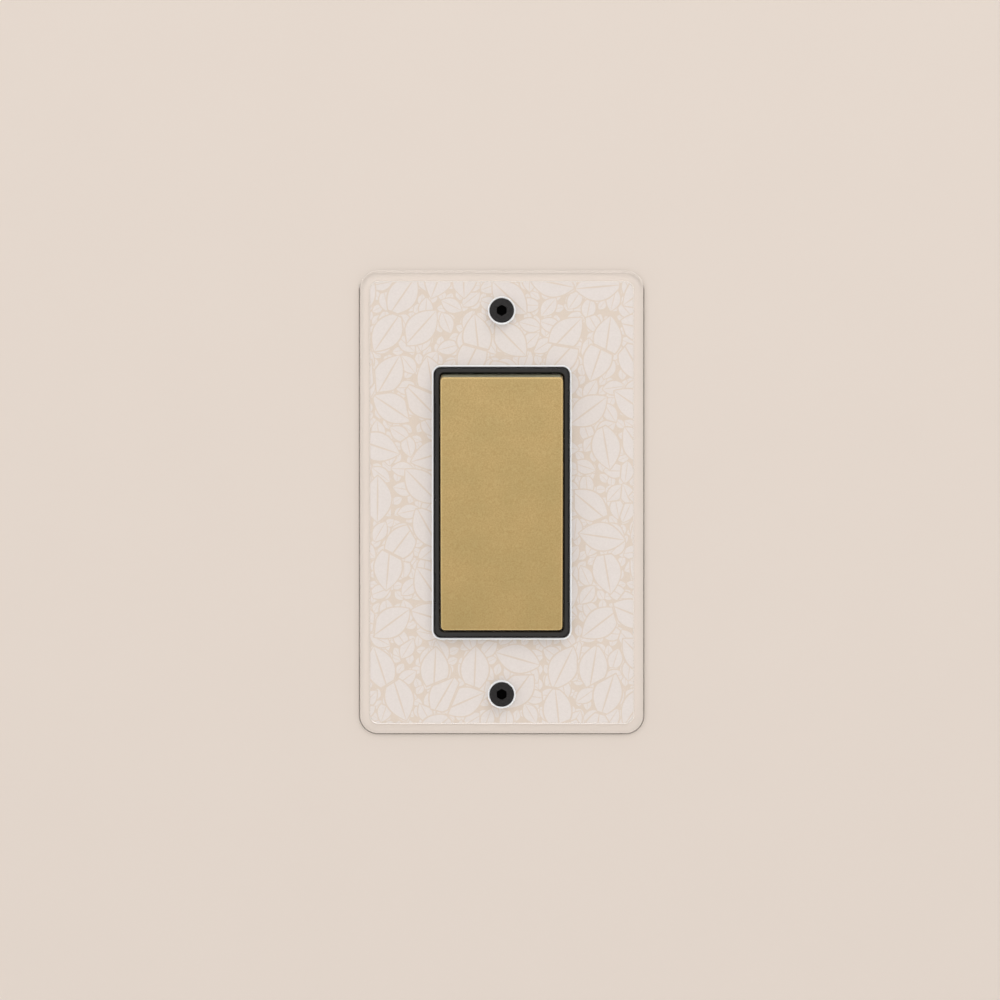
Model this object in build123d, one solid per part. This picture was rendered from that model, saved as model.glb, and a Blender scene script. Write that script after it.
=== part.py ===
from build123d import *

import os
from math import cos, hypot, radians, sin, tan

# A retractive rocker switch for a one-gang wall box: a polished clear acrylic plate, a black
# moulded frame, and a brass rocker that springs back when the finger leaves it.
#
# The switch stands upright, as on a wall. +X is right, +Z is up and +Y runs into the wall, so the
# rocker faces -Y. The origin is the middle of the plate's back, on the wall plane y = 0.
# Lengths are millimetres and angles are degrees.

# Cover plate
plate_width = 72.0
plate_screw_inset = 10.08  # from the plate's end to the screw's axis
plate_thickness = 5.0
plate_corner_radius = 4.8
plate_edge_radius = 0.7
plate_rim = 2.6  # rim that stands on the wall, around the hollow back
plate_opening_gap = 0.3  # between the frame and the plate, all round
plate_opening_bevel = 0.2

# Strap, and the paper insert that hides it behind the plate
strap_thickness = 1.2
strap_side_margin = 2.105  # from the frame's side to the strap's edge
strap_end_margin = 4.08  # from the plate screw's axis to the strap's end
strap_corner_radius = 4.0
strap_wall_gap = 0.1
strap_window_gap = 0.2  # beyond the frame's own opening
strap_waist_depth = 5.5
strap_waist_length = 3.0
strap_waist_inset = 4.27  # from the box screw's axis towards the middle
paper_thickness = 0.3
paper_gap = 0.2  # between the paper's edge and the plate's rim
paper_hole_radius = 2.6

# Frame
frame_proud = 1.0
frame_wall = 1.27
frame_outer_radius = 1.6
frame_inner_radius = 1.2
frame_edge_bevel = 0.25
snap_inset = 10.37  # from the rocker's end to the middle of a snap arm
snap_length = 7.5
snap_thickness = 0.82  # of each snap arm, outwards from the frame's opening
snap_relief = 0.3  # depth of the notch in the frame's side in front of each snap arm
snap_hook = 1.1
snap_hook_height = 1.4
snap_gap = 0.25

# Rocker: brass cap on a moulded carrier
rocker_width = 30.75
rocker_length = 63.84
rocker_tilt = 5.0  # above and below the middle of its travel
rocker_side_gap = 0.25
rocker_end_gap = 0.15
rocker_rest_recess = 0.3  # how far the low end's edge lies below the frame's front
rocker_face_height = 5.6  # of the face over the pivot axis
cap_sheet = 1.0
cap_depth = 6.0
cap_end_flare = 5.0
cap_corner_radius = 1.0
cap_edge_radius = 0.28
cap_tab_width = 4.0
cap_tab_reach = 2.0
cap_tab_inset = 7.92  # from the rocker's end to the middle of a tab
carrier_web = 1.6
carrier_wall = 1.2
carrier_rib = 1.2
carrier_rib_depth = 2.2
carrier_rib_steps = 4  # from the middle of the carrier to a stop rib
pin_radius = 1.0
pin_running_gap = 0.05
pin_end_gap = 0.05
lug_radius = 2.6
lug_width = 2.0
ear_radius = 2.2
ear_width = 2.0
ear_side_gap = 0.4

# Housing
deck_clearance = 0.9  # under the lowest point that the rocker reaches
deck_thickness = 2.0
flange_border = 2.35
flange_corner_radius = 3.0
tray_gap = 0.1
body_width = 30.0
body_height = 34.6
body_back = 20.0
body_wall = 1.5
body_corner_radius = 2.0
fin_reach = 3.0
fin_thickness = 1.4
fin_gap = 0.9

# Stops and return spring
stop_inset = 5.92  # from the rocker's end to the middle of a stop rib
stop_pad_thickness = 1.2
stop_pad_width = 18.0
stop_pad_height = 4.0
stop_rib_radius = 0.8
touch_gap = 0.05
return_spring_inset = 6.0  # from the middle of the stop rib to the spring's axis
return_spring_radius = 3.2  # outside
return_spring_wire = 0.7
return_spring_turns = 4
spring_well_depth = 4.8
spring_well_gap = 0.25
spring_well_wall = 1.1
spring_spigot_radius = 1.7
spring_spigot_height = 2.0

# Plunger and moving contact
plunger_inset = 9.3  # from the body's upper end to the plunger's axis
plunger_radius = 2.5
plunger_guide_gap = 0.06
plunger_proud = 0.6  # above the deck when the rocker is fully pressed
plunger_collar_radius = 4.0
plunger_collar_height = 1.2
plunger_stem_radius = 1.7
plunger_stem_past_clip = 1.2
striker_radius = 1.0
striker_width = 5.0
contact_spring_radius = 3.1
contact_spring_wire = 0.4
contact_spring_length = 3.0
contact_spring_turns = 2
bridge_thickness = 1.0
bridge_width = 5.0
bridge_end = 2.0  # past the contact's axis
bridge_hole_gap = 0.15
contact_x = 7.0
contact_radius = 1.5
contact_height = 0.9
contact_last_gap = 0.05
clip_thickness = 0.5
clip_radius = 3.0
clip_mouth = 2.0
plunger_spring_radius = 2.5
plunger_spring_wire = 0.4
plunger_spring_turns = 4
cover_spigot_radius = 1.6
cover_spigot_height = 2.5

# Terminals
terminal_thickness = 0.8
terminal_width = 7.5
terminal_inner_end = 2.4  # past the contact's axis, towards the middle
terminal_bend_radius = 0.6
terminal_slot_gap = 0.1
terminal_screw_back = 4.2  # from the middle of the blade to the screw's axis
terminal_foot = 0.6  # from the end of the terminal plate to the back of the body
terminal_screw_radius = 2.0
terminal_screw_hole_gap = 0.2
terminal_head_radius = 3.6
terminal_head_height = 2.2
terminal_screw_length = 4.6
clamp_plate_width = 7.4
clamp_plate_thickness = 0.9
clamp_lip_gap = 0.2

# Rear cover and its screws
cover_thickness = 2.0
cover_edge_bevel = 0.5
cover_screw_side_inset = 4.0
cover_screw_end_inset = 2.9
cover_boss_radius = 2.2
cover_screw_radius = 1.1
cover_screw_length = 8.0
cover_screw_hole_gap = 0.15
cover_head_radius = 2.0
cover_head_height = 1.3

# Plate screws, box screws and ground screw
screw_radius = 1.75
plate_head_radius = 3.1
plate_head_rim = 0.25
plate_hole_gap = 0.3
plate_screw_length = 13.0
hex_socket_flats = 2.5
hex_socket_depth = 1.5
tapped_collar_radius = 3.2
tapped_collar_height = 1.4
plate_screw_beyond = 16.5  # from the rocker's end to the plate screw's axis
box_screw_beyond = 9.75  # from the rocker's end to the box screw's axis
box_head_radius = 3.4
box_screw_neck_radius = 1.4
box_screw_neck_past_dimple = 0.1
box_screw_length = 19.5
box_slot_travel = 3.0
box_slot_gap = 0.35
ground_tab_beyond = 1.5  # from the box screw's axis towards the strap's end
ground_tab_width = 8.0
ground_tab_depth = 9.0
ground_screw_length = 6.0
ground_head_radius = 3.8
ground_head_height = 2.2
slot_width = 1.0
slot_depth = 0.9

# Heights that follow the rocker's length
rocker_half = rocker_length / 2
plate_screw_z = rocker_half + plate_screw_beyond
box_screw_z = rocker_half + box_screw_beyond
plate_height = 2 * (plate_screw_z + plate_screw_inset)
strap_length = 2 * (plate_screw_z + strap_end_margin)
strap_waist_z = box_screw_z - strap_waist_inset
ground_tab_z = -box_screw_z - ground_tab_beyond
snap_z = rocker_half - snap_inset
cap_tab_z = rocker_half - cap_tab_inset
stop_z = rocker_half - stop_inset
return_spring_z = stop_z - return_spring_inset
carrier_rib_pitch = stop_z / carrier_rib_steps

# Places that follow the body and the contacts
body_side = body_width / 2
plunger_z = body_height / 2 - plunger_inset
cover_screw_x = body_side - cover_screw_side_inset
cover_screw_z = body_height / 2 - cover_screw_end_inset
terminal_inner_x = contact_x - terminal_inner_end
bridge_length = 2 * (contact_x + bridge_end)

# Depths along +Y, from the front of the switch to the wall
plate_front = -plate_thickness
strap_back = -strap_wall_gap
strap_front = strap_back - strap_thickness
paper_front = strap_front - paper_thickness
frame_front = plate_front - frame_proud

# The rocker's own frame has its origin on the pivot axis and its face square to Y
tilt_sin = sin(radians(rocker_tilt))
tilt_cos = cos(radians(rocker_tilt))
pivot_y = (
    frame_front
    + rocker_rest_recess
    - rocker_half * tilt_sin
    + rocker_face_height * tilt_cos
)
rocker_face = -rocker_face_height
cap_back = rocker_face + cap_depth
carrier_front = rocker_face + cap_sheet
web_back = carrier_front + carrier_web
carrier_back = cap_back - cap_sheet
cap_back_half = rocker_half + cap_depth * tan(radians(cap_end_flare))
rocker_reach = hypot(cap_back_half, cap_back)  # widest sweep about the pivot
rocker_lowest = pivot_y + cap_back_half * tilt_sin + cap_back * tilt_cos

# Openings
opening_width = rocker_width + 2 * rocker_side_gap
opening_height = 2 * (rocker_reach + rocker_end_gap)
frame_width = opening_width + 2 * frame_wall
frame_height = opening_height + 2 * frame_wall
window_width = opening_width + 2 * strap_window_gap
window_height = opening_height + 2 * strap_window_gap
tray_width = window_width + 2 * tray_gap
tray_height = window_height + 2 * tray_gap
snap_outer_x = opening_width / 2 + snap_thickness
strap_width = frame_width + 2 * strap_side_margin
strap_side = strap_width / 2

# Housing levels and the stack of the moving contact, all at rest
deck_front = rocker_lowest + deck_clearance
deck_back = deck_front + deck_thickness
plunger_travel = 2 * plunger_z * tilt_sin
plunger_front = deck_front - plunger_proud - plunger_travel
collar_front = deck_back + touch_gap
collar_back = collar_front + plunger_collar_height
bridge_front = collar_back + contact_spring_length
bridge_back = bridge_front + bridge_thickness
clip_back = bridge_back + clip_thickness
moving_contact_back = bridge_back + contact_height
fixed_contact_front = moving_contact_back + plunger_travel + contact_last_gap
blade_front = fixed_contact_front + contact_height
blade_back = blade_front + terminal_thickness
terminal_screw_y = (blade_front + blade_back) / 2 + terminal_screw_back
spring_well_back = deck_front + spring_well_depth
cover_back = body_back + cover_thickness
dimple_hole_radius = screw_radius + box_slot_gap
dimple_back = strap_front + box_head_radius - dimple_hole_radius + strap_thickness
terminal_face = body_side + terminal_thickness
clamp_face = terminal_face + clamp_plate_thickness


def facing_plane(y):
    """The plane at depth y that faces the viewer: its first axis is X and its second is Z."""
    return Plane(origin=(0, y, 0), x_dir=(1, 0, 0), z_dir=(0, -1, 0))


def slab(outline, front, back):
    """An outline drawn in X and Z, filled from depth front to depth back."""
    return extrude(facing_plane(back) * outline, amount=back - front)


def rod(radius, front, back, x=0, z=0):
    """A round rod along Y."""
    return slab(Pos(x, z) * Circle(radius), front, back)


def side_slab(outline, x_from, x_to):
    """An outline drawn in Y and Z, filled from x_from to x_to."""
    return extrude(Plane.YZ.offset(x_from) * outline, amount=x_to - x_from)


def turned(points):
    """A solid turned about Y, from its half section in (radius, depth) points."""
    return revolve(make_face(Polyline(*points, close=True)), axis=Axis.Y)


def centred_frame(outer, inner, front, back):
    """A slab of the outer outline with the inner one cut through it."""
    return slab(outer - inner, front, back)


def mirrored_x(shape):
    """The same shape on the other side of the middle plane x = 0."""
    return mirror(shape, about=Plane.YZ)


def pick_edges(solid, test):
    """The edges whose middle point and middle direction pass the test."""
    return solid.edges().filter_by(lambda edge: test(edge @ 0.5, edge % 0.5))


def coil(z, front, back, outer_radius, wire, turns):
    """A helical spring of square wire along Y, which just fills the space from front to back."""
    height = back - front - wire
    path = Helix(
        pitch=height / turns,
        height=height,
        radius=outer_radius - wire / 2,
        center=(0, front + wire / 2, z),
        direction=(0, 1, 0),
    )
    return sweep((path ^ 0) * Rectangle(wire, wire), path=path, is_frenet=True)


def behind_rocker(local_y, z):
    """Depth, at rest and at height z, of the rocker's plane that lies at local_y in its own frame."""
    return pivot_y + (local_y - z * tilt_sin) / tilt_cos


def at_rest(shape):
    """Tilts a shape from the rocker's own frame to its rest pose, with the top end standing out."""
    return Pos(0, pivot_y, 0) * Rot(rocker_tilt, 0, 0) * shape


def clear_plate():
    """The acrylic plate: hollow behind, with a bevelled opening and two countersunk holes."""
    plate = slab(
        RectangleRounded(plate_width, plate_height, plate_corner_radius), plate_front, 0
    )
    plate = fillet(plate.faces().sort_by(Axis.Y)[0].edges(), plate_edge_radius)
    plate -= slab(
        RectangleRounded(
            plate_width - 2 * plate_rim,
            plate_height - 2 * plate_rim,
            plate_corner_radius - plate_rim,
        ),
        paper_front,
        0,
    )
    opening = RectangleRounded(
        frame_width + 2 * plate_opening_gap,
        frame_height + 2 * plate_opening_gap,
        frame_outer_radius + plate_opening_gap,
    )
    plate -= slab(opening, plate_front, 0)
    rim_of_opening = pick_edges(
        plate,
        lambda middle, _: abs(middle.Y - plate_front) < 1e-3
        and abs(middle.X) < frame_width / 2 + 2 * plate_opening_gap
        and abs(middle.Z) < frame_height / 2 + 2 * plate_opening_gap,
    )
    plate = chamfer(rim_of_opening, plate_opening_bevel)
    for z in (-plate_screw_z, plate_screw_z):
        plate -= Pos(0, 0, z) * plate_screw_seat()
    return plate


def plate_screw_seat():
    """The countersink and clearance hole of a plate screw: the same cone as the screw's head."""
    hole_radius = screw_radius + plate_hole_gap
    mouth = plate_head_radius + plate_head_rim
    return turned(
        [
            (0, plate_front),
            (mouth, plate_front),
            (hole_radius, plate_front + mouth - hole_radius),
            (hole_radius, 0),
            (0, 0),
        ]
    )


def hex_socket(front):
    """A hexagonal key socket with corners up and down."""
    corner_radius = hex_socket_flats / 2 / cos(radians(30))
    return slab(
        RegularPolygon(corner_radius, 6, rotation=30), front, front + hex_socket_depth
    )


def plate_screw():
    """A black flat-head machine screw with a hexagonal socket."""
    cone_back = plate_front + plate_head_rim + plate_head_radius - screw_radius
    tip = plate_front + plate_screw_length
    screw = turned(
        [
            (0, plate_front),
            (plate_head_radius - plate_head_rim / 2, plate_front),
            (plate_head_radius, plate_front + plate_head_rim / 2),
            (plate_head_radius, plate_front + plate_head_rim),
            (screw_radius, cone_back),
            (screw_radius, tip),
            (0, tip),
        ]
    )
    return screw - hex_socket(plate_front)


def paper_insert():
    """The sheet behind the clear plate that hides the strap, cut out for the frame and the screws."""
    sheet = RectangleRounded(
        plate_width - 2 * (plate_rim + paper_gap),
        plate_height - 2 * (plate_rim + paper_gap),
        plate_corner_radius - plate_rim,
    )
    sheet -= RectangleRounded(
        frame_width + 2 * plate_opening_gap,
        frame_height + 2 * plate_opening_gap,
        frame_outer_radius + plate_opening_gap,
    )
    for z in (-plate_screw_z, plate_screw_z):
        sheet -= Pos(0, z) * Circle(paper_hole_radius)
    return slab(sheet, paper_front, strap_front)


def frame():
    """The black surround: a thin tube around the rocker, with four snap arms that hold the switch
    together."""
    tube = centred_frame(
        RectangleRounded(frame_width, frame_height, frame_outer_radius),
        RectangleRounded(opening_width, opening_height, frame_inner_radius),
        frame_front,
        strap_front,
    )
    tube = chamfer(tube.faces().sort_by(Axis.Y)[0].edges(), frame_edge_bevel)
    for side in (-1, 1):
        for z in (-snap_z, snap_z):
            relief = Pos(side * frame_width / 2, z) * Rectangle(
                2 * snap_relief, snap_length
            )
            tube -= slab(relief, frame_front, strap_front)
    arm = snap_arm()
    for z in (-snap_z, snap_z):
        tube += Pos(0, 0, z) * arm
        tube += Pos(0, 0, z) * mirrored_x(arm)
    return tube


def snap_arm():
    """A snap arm at +X: it runs back through the strap and the flange and hooks under the flange."""
    inner_x = opening_width / 2
    hook_front = deck_back + touch_gap
    profile = Polyline(
        (inner_x, strap_front),
        (snap_outer_x, strap_front),
        (snap_outer_x, hook_front),
        (snap_outer_x + snap_hook, hook_front),
        (snap_outer_x, hook_front + snap_hook_height),
        (inner_x, hook_front + snap_hook_height),
        close=True,
    )
    return extrude(make_face(profile), amount=snap_length / 2, both=True)


def snap_passage(front, back):
    """The cut that lets the four snap arms through a plate or a wall."""
    outer_x = snap_outer_x + snap_gap
    cuts = [
        Pos(side * outer_x / 2, z) * Rectangle(outer_x, snap_length + 2 * snap_gap)
        for side in (-1, 1)
        for z in (-snap_z, snap_z)
    ]
    clear_middle = Rectangle(opening_width - 2 * snap_gap, window_height)
    return slab(Sketch() + cuts - clear_middle, front, back)


def strap():
    """The pressed steel strap that carries the switch on the box and takes the plate screws."""
    outline = RectangleRounded(strap_width, strap_length, strap_corner_radius)
    notch = Rectangle(2 * strap_waist_depth, strap_waist_length)
    for side in (-1, 1):
        for z in (-strap_waist_z, strap_waist_z):
            outline -= Pos(side * strap_side, z) * notch
    outline -= RectangleRounded(window_width, window_height, frame_outer_radius)
    plate = slab(outline, strap_front, strap_back)
    plate -= snap_passage(strap_front, strap_back)
    for z in (-plate_screw_z, plate_screw_z):
        collar_back_y = strap_back + tapped_collar_height
        plate += rod(tapped_collar_radius, strap_back, collar_back_y, z=z)
        plate -= rod(screw_radius, strap_front, collar_back_y, z=z)
    for z in (-box_screw_z, box_screw_z):
        plate += Pos(0, 0, z) * screw_dimple(strap_thickness)
        plate -= Pos(0, 0, z) * screw_dimple(0)
    return plate + ground_tab()


def screw_dimple(skin):
    """A pressed oval dimple for a flat-head box screw. skin is the metal outside the head's cone, and
    with no skin this is the cut itself."""
    mouth = box_head_radius + skin / cos(radians(45))
    neck = dimple_hole_radius + skin
    cone_end = strap_front + mouth - neck
    end = turned(
        [
            (0, strap_front),
            (mouth, strap_front),
            (neck, cone_end),
            (neck, dimple_back),
            (0, dimple_back),
        ]
    )
    middle = Polyline(
        (strap_front, -mouth),
        (cone_end, -neck),
        (dimple_back, -neck),
        (dimple_back, neck),
        (cone_end, neck),
        (strap_front, mouth),
        close=True,
    )
    half = box_slot_travel / 2
    dimple = side_slab(make_face(middle), -half, half)
    return dimple + Pos(-half, 0, 0) * end + Pos(half, 0, 0) * end


def ground_tab():
    """A tab folded back from the strap's left edge, which carries the ground screw."""
    profile = Polyline(
        (-strap_side, strap_front),
        (-strap_side, strap_back + ground_tab_depth),
        (-strap_side + strap_thickness, strap_back + ground_tab_depth),
        (-strap_side + strap_thickness, strap_front),
        close=True,
    )
    tab = extrude(make_face(profile), amount=ground_tab_width / 2, both=True)
    hole_y = strap_back + ground_tab_depth / 2
    hole = side_slab(
        Pos(hole_y, 0) * Circle(screw_radius),
        -strap_side,
        -strap_side + strap_thickness,
    )
    return Pos(0, 0, ground_tab_z) * (tab - hole)


def rocker_block(front, back, inset):
    """A block with the rocker's outline between two depths of its own frame, inset from the cap's
    outside: its ends flare towards the back, and its corners are rounded."""
    flare = tan(radians(cap_end_flare))
    end_inset = inset / cos(radians(cap_end_flare))

    def half_length(y):
        return rocker_half + (y - rocker_face) * flare - end_inset

    profile = Polyline(
        (front, -half_length(front)),
        (back, -half_length(back)),
        (back, half_length(back)),
        (front, half_length(front)),
        close=True,
    )
    half_width = rocker_width / 2 - inset
    block = side_slab(make_face(profile), -half_width, half_width)
    corners = pick_edges(block, lambda _, direction: abs(direction.Y) > 0.9)
    return fillet(corners, max(cap_corner_radius - inset, cap_corner_radius / 3))


def rocker_cap():
    """The pressed brass cap: a deep pan with a softened edge and four tabs folded under the carrier."""
    cap = rocker_block(rocker_face, cap_back, 0)
    cap = fillet(cap.faces().sort_by(Axis.Y)[0].edges(), cap_edge_radius)
    cap -= rocker_block(carrier_front, cap_back, cap_sheet)
    inner_x = rocker_width / 2 - cap_sheet
    for side in (-1, 1):
        for z in (-cap_tab_z, cap_tab_z):
            tab = Pos(side * (inner_x - cap_tab_reach / 2), z) * Rectangle(
                cap_tab_reach, cap_tab_width
            )
            cap += slab(tab, carrier_back, cap_back)
    return at_rest(cap)


def rocker_carrier():
    """The moulded carrier inside the cap: a ribbed tray with the pivot lugs, the striker, the stop
    ribs and the spigot of the return spring."""
    carrier = rocker_block(carrier_front, carrier_back, cap_sheet)
    carrier -= rocker_block(web_back, carrier_back, cap_sheet + carrier_wall)
    inner_width = rocker_width - 2 * (cap_sheet + carrier_wall)
    for row in (-3, -2, -1, 2):
        rib = Pos(0, row * carrier_rib_pitch) * Rectangle(inner_width, carrier_rib)
        carrier += slab(rib, web_back, web_back + carrier_rib_depth)
    carrier += stop_rib(-stop_z) + stop_rib(stop_z)
    carrier += striker()
    for side in (-1, 1):
        carrier += pivot_lug(side)
    carrier += rod(
        spring_spigot_radius,
        web_back,
        web_back + spring_spigot_height,
        z=return_spring_z,
    )
    carrier -= side_slab(Circle(pin_radius), -rocker_width / 2, rocker_width / 2)
    return at_rest(carrier)


def round_nosed_rib(nose_y, nose_radius, width, z):
    """A rib across the carrier that runs back from the web and ends in a round nose."""
    profile = Pos((web_back + nose_y) / 2, z) * Rectangle(
        nose_y - web_back, 2 * nose_radius
    )
    profile += Pos(nose_y, z) * Circle(nose_radius)
    return side_slab(profile, -width / 2, width / 2)


def stop_rib(z):
    """The rib that lands on a stop pad: the lower one at rest, the upper one when pressed."""
    pad_front = deck_front - stop_pad_thickness
    nose_y = (
        pad_front - touch_gap - stop_rib_radius - pivot_y - stop_z * tilt_sin
    ) / tilt_cos
    return round_nosed_rib(
        nose_y, stop_rib_radius, stop_pad_width - 2 * stop_rib_radius, z
    )


def striker():
    """The rib that pushes the plunger."""
    nose_y = (
        plunger_front - touch_gap - striker_radius - pivot_y + plunger_z * tilt_sin
    ) / tilt_cos
    return round_nosed_rib(nose_y, striker_radius, striker_width, plunger_z)


def pivot_lug(side):
    """One of the two lugs that hold the pivot pin, next to the carrier's side wall."""
    outer_x = rocker_width / 2 - cap_sheet
    inner_x = outer_x - carrier_wall - lug_width
    profile = Pos(web_back / 2, 0) * Rectangle(-web_back, 2 * lug_radius)
    profile += Circle(lug_radius)
    lug = side_slab(profile, inner_x, outer_x)
    return lug if side > 0 else mirrored_x(lug)


def pivot_pin():
    """The steel pin, held in the carrier and free to turn in the housing's ears."""
    half = rocker_width / 2 - cap_sheet - pin_end_gap
    return Pos(0, pivot_y, 0) * side_slab(Circle(pin_radius), -half, half)


def housing():
    """The moulded housing: a tray behind the strap, the pivot ears and the spring well on its deck,
    and an open-backed body with the contact chamber."""
    flange = RectangleRounded(
        tray_width + 2 * flange_border,
        tray_height + 2 * flange_border,
        flange_corner_radius,
    )
    moulding = slab(flange, strap_back, deck_back)
    moulding -= slab(
        RectangleRounded(tray_width, tray_height, frame_inner_radius),
        strap_back,
        deck_front,
    )
    moulding -= snap_passage(strap_back, deck_back)
    body = RectangleRounded(body_width, body_height, body_corner_radius)
    chamber = RectangleRounded(
        body_width - 2 * body_wall,
        body_height - 2 * body_wall,
        body_corner_radius - body_wall / 2,
    )
    moulding += slab(body - chamber, deck_back, body_back)
    for x in (-cover_screw_x, cover_screw_x):
        for z in (-cover_screw_z, cover_screw_z):
            moulding += rod(cover_boss_radius, deck_back, body_back, x, z)
            moulding -= rod(
                cover_screw_radius,
                body_back - cover_screw_length,
                body_back,
                x,
                z,
            )
    well_radius = return_spring_radius + spring_well_gap
    moulding += rod(
        well_radius + spring_well_wall,
        deck_front,
        spring_well_back + spring_well_wall,
        z=return_spring_z,
    )
    moulding -= rod(well_radius, deck_front, spring_well_back, z=return_spring_z)
    for side in (-1, 1):
        moulding += pivot_ear(side)
        moulding += terminal_fins(side)
        moulding -= terminal_slot(side)
    moulding -= rod(plunger_radius + plunger_guide_gap, deck_front, deck_back, z=plunger_z)
    return moulding


def pivot_ear(side):
    """An ear that rises from the deck into the carrier, beside the lug, with the pin's bearing."""
    lug_inner_x = rocker_width / 2 - cap_sheet - carrier_wall - lug_width
    outer_x = lug_inner_x - ear_side_gap
    profile = Pos((pivot_y + deck_front) / 2, 0) * Rectangle(
        deck_front - pivot_y, 2 * ear_radius
    )
    profile += Pos(pivot_y, 0) * Circle(ear_radius)
    profile -= Pos(pivot_y, 0) * Circle(pin_radius + pin_running_gap)
    ear = side_slab(profile, outer_x - ear_width, outer_x)
    return ear if side > 0 else mirrored_x(ear)


def terminal_slot(side):
    """The slot in the body's side wall that a terminal slides into from the back."""
    width = terminal_width + 2 * terminal_slot_gap
    outline = Pos(side * (body_side - body_wall / 2), plunger_z) * Rectangle(
        body_wall + 2 * terminal_slot_gap, width
    )
    return slab(outline, blade_front, body_back)


def terminal_fins(side):
    """Two barrier fins that stand beside a terminal screw."""
    offset = terminal_head_radius + fin_gap + fin_thickness / 2
    fins = Sketch() + [
        Pos(side * (body_side + fin_reach / 2), plunger_z + up * offset)
        * Rectangle(fin_reach, fin_thickness)
        for up in (-1, 1)
    ]
    return slab(fins, blade_front - terminal_thickness, body_back)


def stop_pad(z):
    """A rubber pad on the deck that a stop rib lands on."""
    pad = Pos(0, z) * Rectangle(stop_pad_width, stop_pad_height)
    return slab(pad, deck_front - stop_pad_thickness, deck_front)


def return_spring():
    """The spring that pushes the rocker's top end out again."""
    front = (
        behind_rocker(web_back, return_spring_z - return_spring_radius) + touch_gap
    )
    return coil(
        return_spring_z,
        front,
        spring_well_back,
        return_spring_radius,
        return_spring_wire,
        return_spring_turns,
    )


def plunger():
    """The plunger that carries the moving contact: a stem through the deck, a collar and a spigot."""
    tip = clip_back + plunger_stem_past_clip
    shape = turned(
        [
            (0, plunger_front),
            (plunger_radius - striker_radius / 2, plunger_front),
            (plunger_radius, plunger_front + striker_radius / 2),
            (plunger_radius, collar_front),
            (plunger_collar_radius, collar_front),
            (plunger_collar_radius, collar_back),
            (plunger_stem_radius, collar_back),
            (plunger_stem_radius, tip),
            (0, tip),
        ]
    )
    return Pos(0, 0, plunger_z) * shape


def contact_spring():
    """The spring between the plunger's collar and the bridge, which gives the contact pressure."""
    return coil(
        plunger_z,
        collar_back,
        bridge_front,
        contact_spring_radius,
        contact_spring_wire,
        contact_spring_turns,
    )


def contact_bridge():
    """The brass bar that joins the two fixed contacts when the plunger is down."""
    bar = Rectangle(bridge_length, bridge_width) - Circle(
        plunger_stem_radius + bridge_hole_gap
    )
    return slab(Pos(0, plunger_z) * bar, bridge_front, bridge_back)


def retaining_clip():
    """The open ring on the plunger's stem that holds the bridge."""
    ring = Circle(clip_radius) - Circle(plunger_stem_radius)
    ring -= Pos(0, -clip_radius) * Rectangle(clip_mouth, 2 * clip_radius)
    return slab(Pos(0, plunger_z) * ring, bridge_back, clip_back)


def contact_button(side, front, back):
    """A silver contact rivet's head."""
    return rod(contact_radius, front, back, side * contact_x, plunger_z)


def plunger_spring():
    """The spring that lifts the plunger after the rocker."""
    return coil(
        plunger_z,
        clip_back,
        body_back,
        plunger_spring_radius,
        plunger_spring_wire,
        plunger_spring_turns,
    )


def terminal(side):
    """A brass terminal at +X or -X: a blade under the fixed contact that turns along the body's side
    and takes the terminal screw."""
    foot = body_back - terminal_foot
    path = Polyline(
        (terminal_inner_x, blade_back),
        (terminal_inner_x, blade_front),
        (terminal_face, blade_front),
        (terminal_face, foot),
        (body_side, foot),
        (body_side, blade_back),
        close=True,
    )
    section = make_face(path)
    outer_bend = section.vertices().sort_by_distance((terminal_face, blade_front, 0))[0]
    section = fillet(outer_bend, terminal_bend_radius)
    blade = extrude(section, amount=terminal_width / 2, both=True)
    blade -= side_slab(
        Pos(terminal_screw_y, 0) * Circle(terminal_screw_radius),
        body_side,
        terminal_face,
    )
    blade = Pos(0, 0, plunger_z) * blade
    return blade if side > 0 else mirrored_x(blade)


def clamp_plate(side):
    """The brass plate under a terminal screw's head, with one edge turned up as a wire stop."""
    lip = clamp_plate_thickness
    lip_back = terminal_screw_y - terminal_head_radius - clamp_lip_gap
    back = terminal_screw_y + clamp_plate_width / 2
    plate = side_slab(
        Pos((lip_back - lip + back) / 2, 0)
        * Rectangle(back - lip_back + lip, clamp_plate_width),
        terminal_face,
        clamp_face,
    )
    plate -= side_slab(
        Pos(terminal_screw_y, 0) * Circle(terminal_screw_radius),
        terminal_face,
        clamp_face,
    )
    plate += side_slab(
        Pos(lip_back - lip / 2, 0) * Rectangle(lip, clamp_plate_width),
        clamp_face,
        clamp_face + lip,
    )
    plate = Pos(0, 0, plunger_z) * plate
    return plate if side > 0 else mirrored_x(plate)


def slotted_screw(head_radius, head_height, radius, length):
    """A cheese-head screw along Y: its seat is at y = 0, and its head is towards -Y with a slot along X."""
    screw = rod(head_radius, -head_height, 0) + rod(radius, 0, length)
    return screw - slab(
        Rectangle(2 * head_radius, slot_width), -head_height, slot_depth - head_height
    )


def terminal_screw(side):
    """A terminal screw that is driven from the side of the body."""
    screw = slotted_screw(
        terminal_head_radius,
        terminal_head_height,
        terminal_screw_radius,
        terminal_screw_length,
    )
    return (
        Pos(side * clamp_face, terminal_screw_y, plunger_z) * Rot(0, 0, side * 90) * screw
    )


def ground_screw():
    """The green ground screw in the strap's folded tab."""
    screw = slotted_screw(
        ground_head_radius, ground_head_height, screw_radius, ground_screw_length
    )
    hole_y = strap_back + ground_tab_depth / 2
    return Pos(-strap_side, hole_y, ground_tab_z) * Rot(0, 0, -90) * screw


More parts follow.
